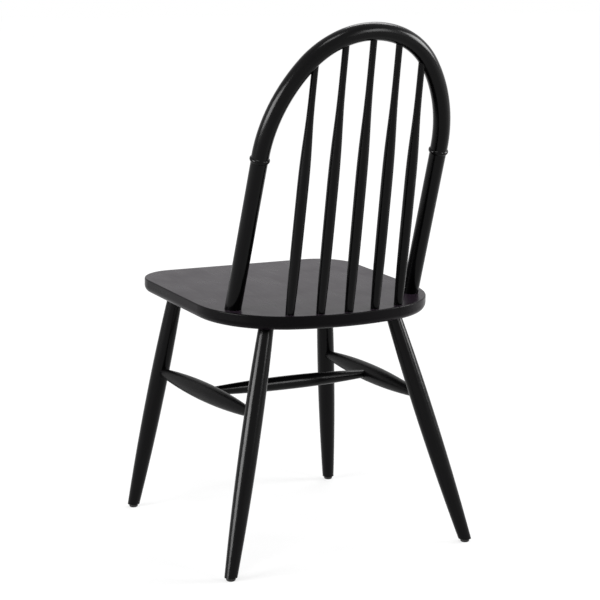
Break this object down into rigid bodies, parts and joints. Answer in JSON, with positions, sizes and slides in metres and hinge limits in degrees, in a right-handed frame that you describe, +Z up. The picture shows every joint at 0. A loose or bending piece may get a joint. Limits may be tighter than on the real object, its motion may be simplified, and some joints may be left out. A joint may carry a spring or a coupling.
{
  "type": "dining chair",
  "caption": "Hoop-back wooden dining chair: a flat shaped seat on raked turned legs with stretchers, and a bent arch back filled with turned spindles, in satin black.",
  "frame": {"origin": "on the floor, under the centre of the chair's bounding box", "axes": "+Z up, -Y the way the sitter faces, +X to the sitter's left"},
  "size_m": [0.479, 0.56, 0.9108],
  "materials": {
    "black_lacquer": "satin black lacquer over close-grained hardwood",
    "bare_wood": "bare fluted-dowel hardwood, hidden inside the joints",
    "glide_plastic": "moulded black plastic, matt, scuffed underneath",
    "steel": "zinc-plated steel fasteners"
  },
  "bodies": {
    "root": {"seat": "black_lacquer", "back_arch": "black_lacquer", "back_post_left": "black_lacquer", "back_post_right": "black_lacquer", "spindle_outer_left": "black_lacquer", "spindle_inner_left": "black_lacquer", "spindle_centre": "black_lacquer", "spindle_inner_right": "black_lacquer", "spindle_outer_right": "black_lacquer", "leg_front_left": "black_lacquer", "leg_front_right": "black_lacquer", "leg_back_left": "black_lacquer", "leg_back_right": "black_lacquer", "side_stretcher_left": "black_lacquer", "side_stretcher_right": "black_lacquer", "cross_stretcher": "black_lacquer", "arch_dowel_left": "bare_wood", "arch_dowel_right": "bare_wood", "glide_front_left": "glide_plastic", "glide_front_right": "glide_plastic", "glide_back_left": "glide_plastic", "glide_back_right": "glide_plastic", "glide_nails": "steel", "post_screws": "steel"}
  },
  "joints": []
}
